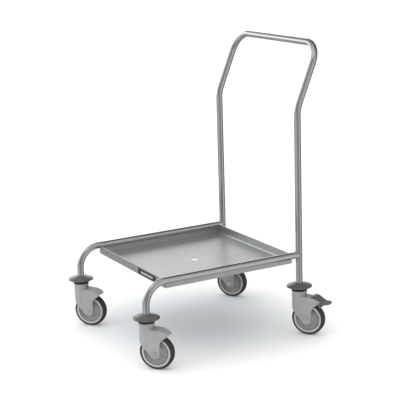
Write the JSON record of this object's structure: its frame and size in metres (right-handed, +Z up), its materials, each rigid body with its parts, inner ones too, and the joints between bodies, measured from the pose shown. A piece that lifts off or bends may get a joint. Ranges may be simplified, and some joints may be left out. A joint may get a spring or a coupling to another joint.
{
  "type": "dish rack dolly",
  "caption": "Tubular stainless dolly with a shallow drip tray for dish racks, a raised push handle, swivel casters with round bumper discs, and foot brakes at the rear.",
  "frame": {"origin": "on the floor, under the middle of the outline with the casters turned as shown", "axes": "+Z up, +Y towards the push handle, +X to the right seen from the front lip"},
  "size_m": [0.7088, 0.7965, 1.0895],
  "materials": {
    "stainless_tube": "satin polished stainless tube",
    "stainless_sheet": "brushed stainless sheet",
    "label_black": "black foil plate, blank",
    "bumper_grey": "matt grey rubber",
    "caster_grey": "light grey moulded nylon",
    "rim_grey": "light grey moulded nylon",
    "guard_grey": "mid grey moulded plastic",
    "tyre_dark": "dark grey thermoplastic rubber",
    "pedal_dark": "dark grey moulded nylon",
    "plated_steel": "zinc plated",
    "bearing_steel": "ground steel with shields",
    "expander_rubber": "black rubber"
  },
  "bodies": {
    "frame": {"left_side_tube": "stainless_tube", "right_side_tube": "stainless_tube", "push_handle": "stainless_tube", "tray": "stainless_sheet", "label_plate": "label_black", "stem_nuts": "plated_steel", "stem_circlips": "plated_steel", "front_left_bumper_disc": "bumper_grey", "front_left_swivel_stem": "plated_steel", "front_left_tube_expander": "expander_rubber", "front_right_bumper_disc": "bumper_grey", "front_right_swivel_stem": "plated_steel", "front_right_tube_expander": "expander_rubber", "rear_left_bumper_disc": "bumper_grey", "rear_left_swivel_stem": "plated_steel", "rear_left_tube_expander": "expander_rubber", "rear_right_bumper_disc": "bumper_grey", "rear_right_swivel_stem": "plated_steel", "rear_right_tube_expander": "expander_rubber"},
    "front_left_caster": {"front_left_fork": "caster_grey", "front_left_swivel_bearings": "bearing_steel", "front_left_axle_bolt": "plated_steel", "front_left_axle_spacer": "plated_steel", "front_left_thread_guards": "guard_grey"},
    "front_left_wheel": {"front_left_wheel_rim": "rim_grey", "front_left_tyre": "tyre_dark", "front_left_hub_bearings": "bearing_steel"},
    "front_right_caster": {"front_right_fork": "caster_grey", "front_right_swivel_bearings": "bearing_steel", "front_right_axle_bolt": "plated_steel", "front_right_axle_spacer": "plated_steel", "front_right_thread_guards": "guard_grey"},
    "front_right_wheel": {"front_right_wheel_rim": "rim_grey", "front_right_tyre": "tyre_dark", "front_right_hub_bearings": "bearing_steel"},
    "rear_left_caster": {"rear_left_fork": "caster_grey", "rear_left_swivel_bearings": "bearing_steel", "rear_left_axle_bolt": "plated_steel", "rear_left_axle_spacer": "plated_steel", "rear_left_thread_guards": "guard_grey", "rear_left_pedal_pin": "plated_steel"},
    "rear_left_wheel": {"rear_left_wheel_rim": "rim_grey", "rear_left_tyre": "tyre_dark", "rear_left_hub_bearings": "bearing_steel"},
    "rear_left_brake": {"rear_left_brake_pedal": "pedal_dark", "rear_left_brake_shoe": "plated_steel"},
    "rear_right_caster": {"rear_right_fork": "caster_grey", "rear_right_swivel_bearings": "bearing_steel", "rear_right_axle_bolt": "plated_steel", "rear_right_axle_spacer": "plated_steel", "rear_right_thread_guards": "guard_grey", "rear_right_pedal_pin": "plated_steel"},
    "rear_right_wheel": {"rear_right_wheel_rim": "rim_grey", "rear_right_tyre": "tyre_dark", "rear_right_hub_bearings": "bearing_steel"},
    "rear_right_brake": {"rear_right_brake_pedal": "pedal_dark", "rear_right_brake_shoe": "plated_steel"}
  },
  "joints": [
    {"name": "front_left_swivel", "type": "hinge", "parent": "frame", "child": "front_left_caster", "pos_m": [-0.30803, -0.35025, 0.1705], "axis": [0, 0, 1], "continuous": true},
    {"name": "front_left_spin", "type": "hinge", "parent": "front_left_caster", "child": "front_left_wheel", "pos_m": [-0.28207, -0.32604, 0.0625], "axis": [0.682, -0.7314, 0], "continuous": true},
    {"name": "front_right_swivel", "type": "hinge", "parent": "frame", "child": "front_right_caster", "pos_m": [0.24797, -0.35025, 0.1705], "axis": [0, 0, 1], "continuous": true},
    {"name": "front_right_spin", "type": "hinge", "parent": "front_right_caster", "child": "front_right_wheel", "pos_m": [0.27393, -0.32604, 0.0625], "axis": [0.682, -0.7314, 0], "continuous": true},
    {"name": "rear_left_swivel", "type": "hinge", "parent": "frame", "child": "rear_left_caster", "pos_m": [-0.30803, 0.28875, 0.1705], "axis": [0, 0, 1], "continuous": true},
    {"name": "rear_left_spin", "type": "hinge", "parent": "rear_left_caster", "child": "rear_left_wheel", "pos_m": [-0.27968, 0.31011, 0.0625], "axis": [0.6018, -0.7986, 0], "continuous": true},
    {"name": "rear_left_brake_press", "type": "hinge", "parent": "rear_left_caster", "child": "rear_left_brake", "pos_m": [-0.2473, 0.33451, 0.12738], "axis": [-0.6018, 0.7986, 0], "range_deg": [0, 12]},
    {"name": "rear_right_swivel", "type": "hinge", "parent": "frame", "child": "rear_right_caster", "pos_m": [0.24797, 0.28875, 0.1705], "axis": [0, 0, 1], "continuous": true},
    {"name": "rear_right_spin", "type": "hinge", "parent": "rear_right_caster", "child": "rear_right_wheel", "pos_m": [0.27632, 0.31011, 0.0625], "axis": [0.6018, -0.7986, 0], "continuous": true},
    {"name": "rear_right_brake_press", "type": "hinge", "parent": "rear_right_caster", "child": "rear_right_brake", "pos_m": [0.3087, 0.33451, 0.12738], "axis": [-0.6018, 0.7986, 0], "range_deg": [0, 12]}
  ]
}
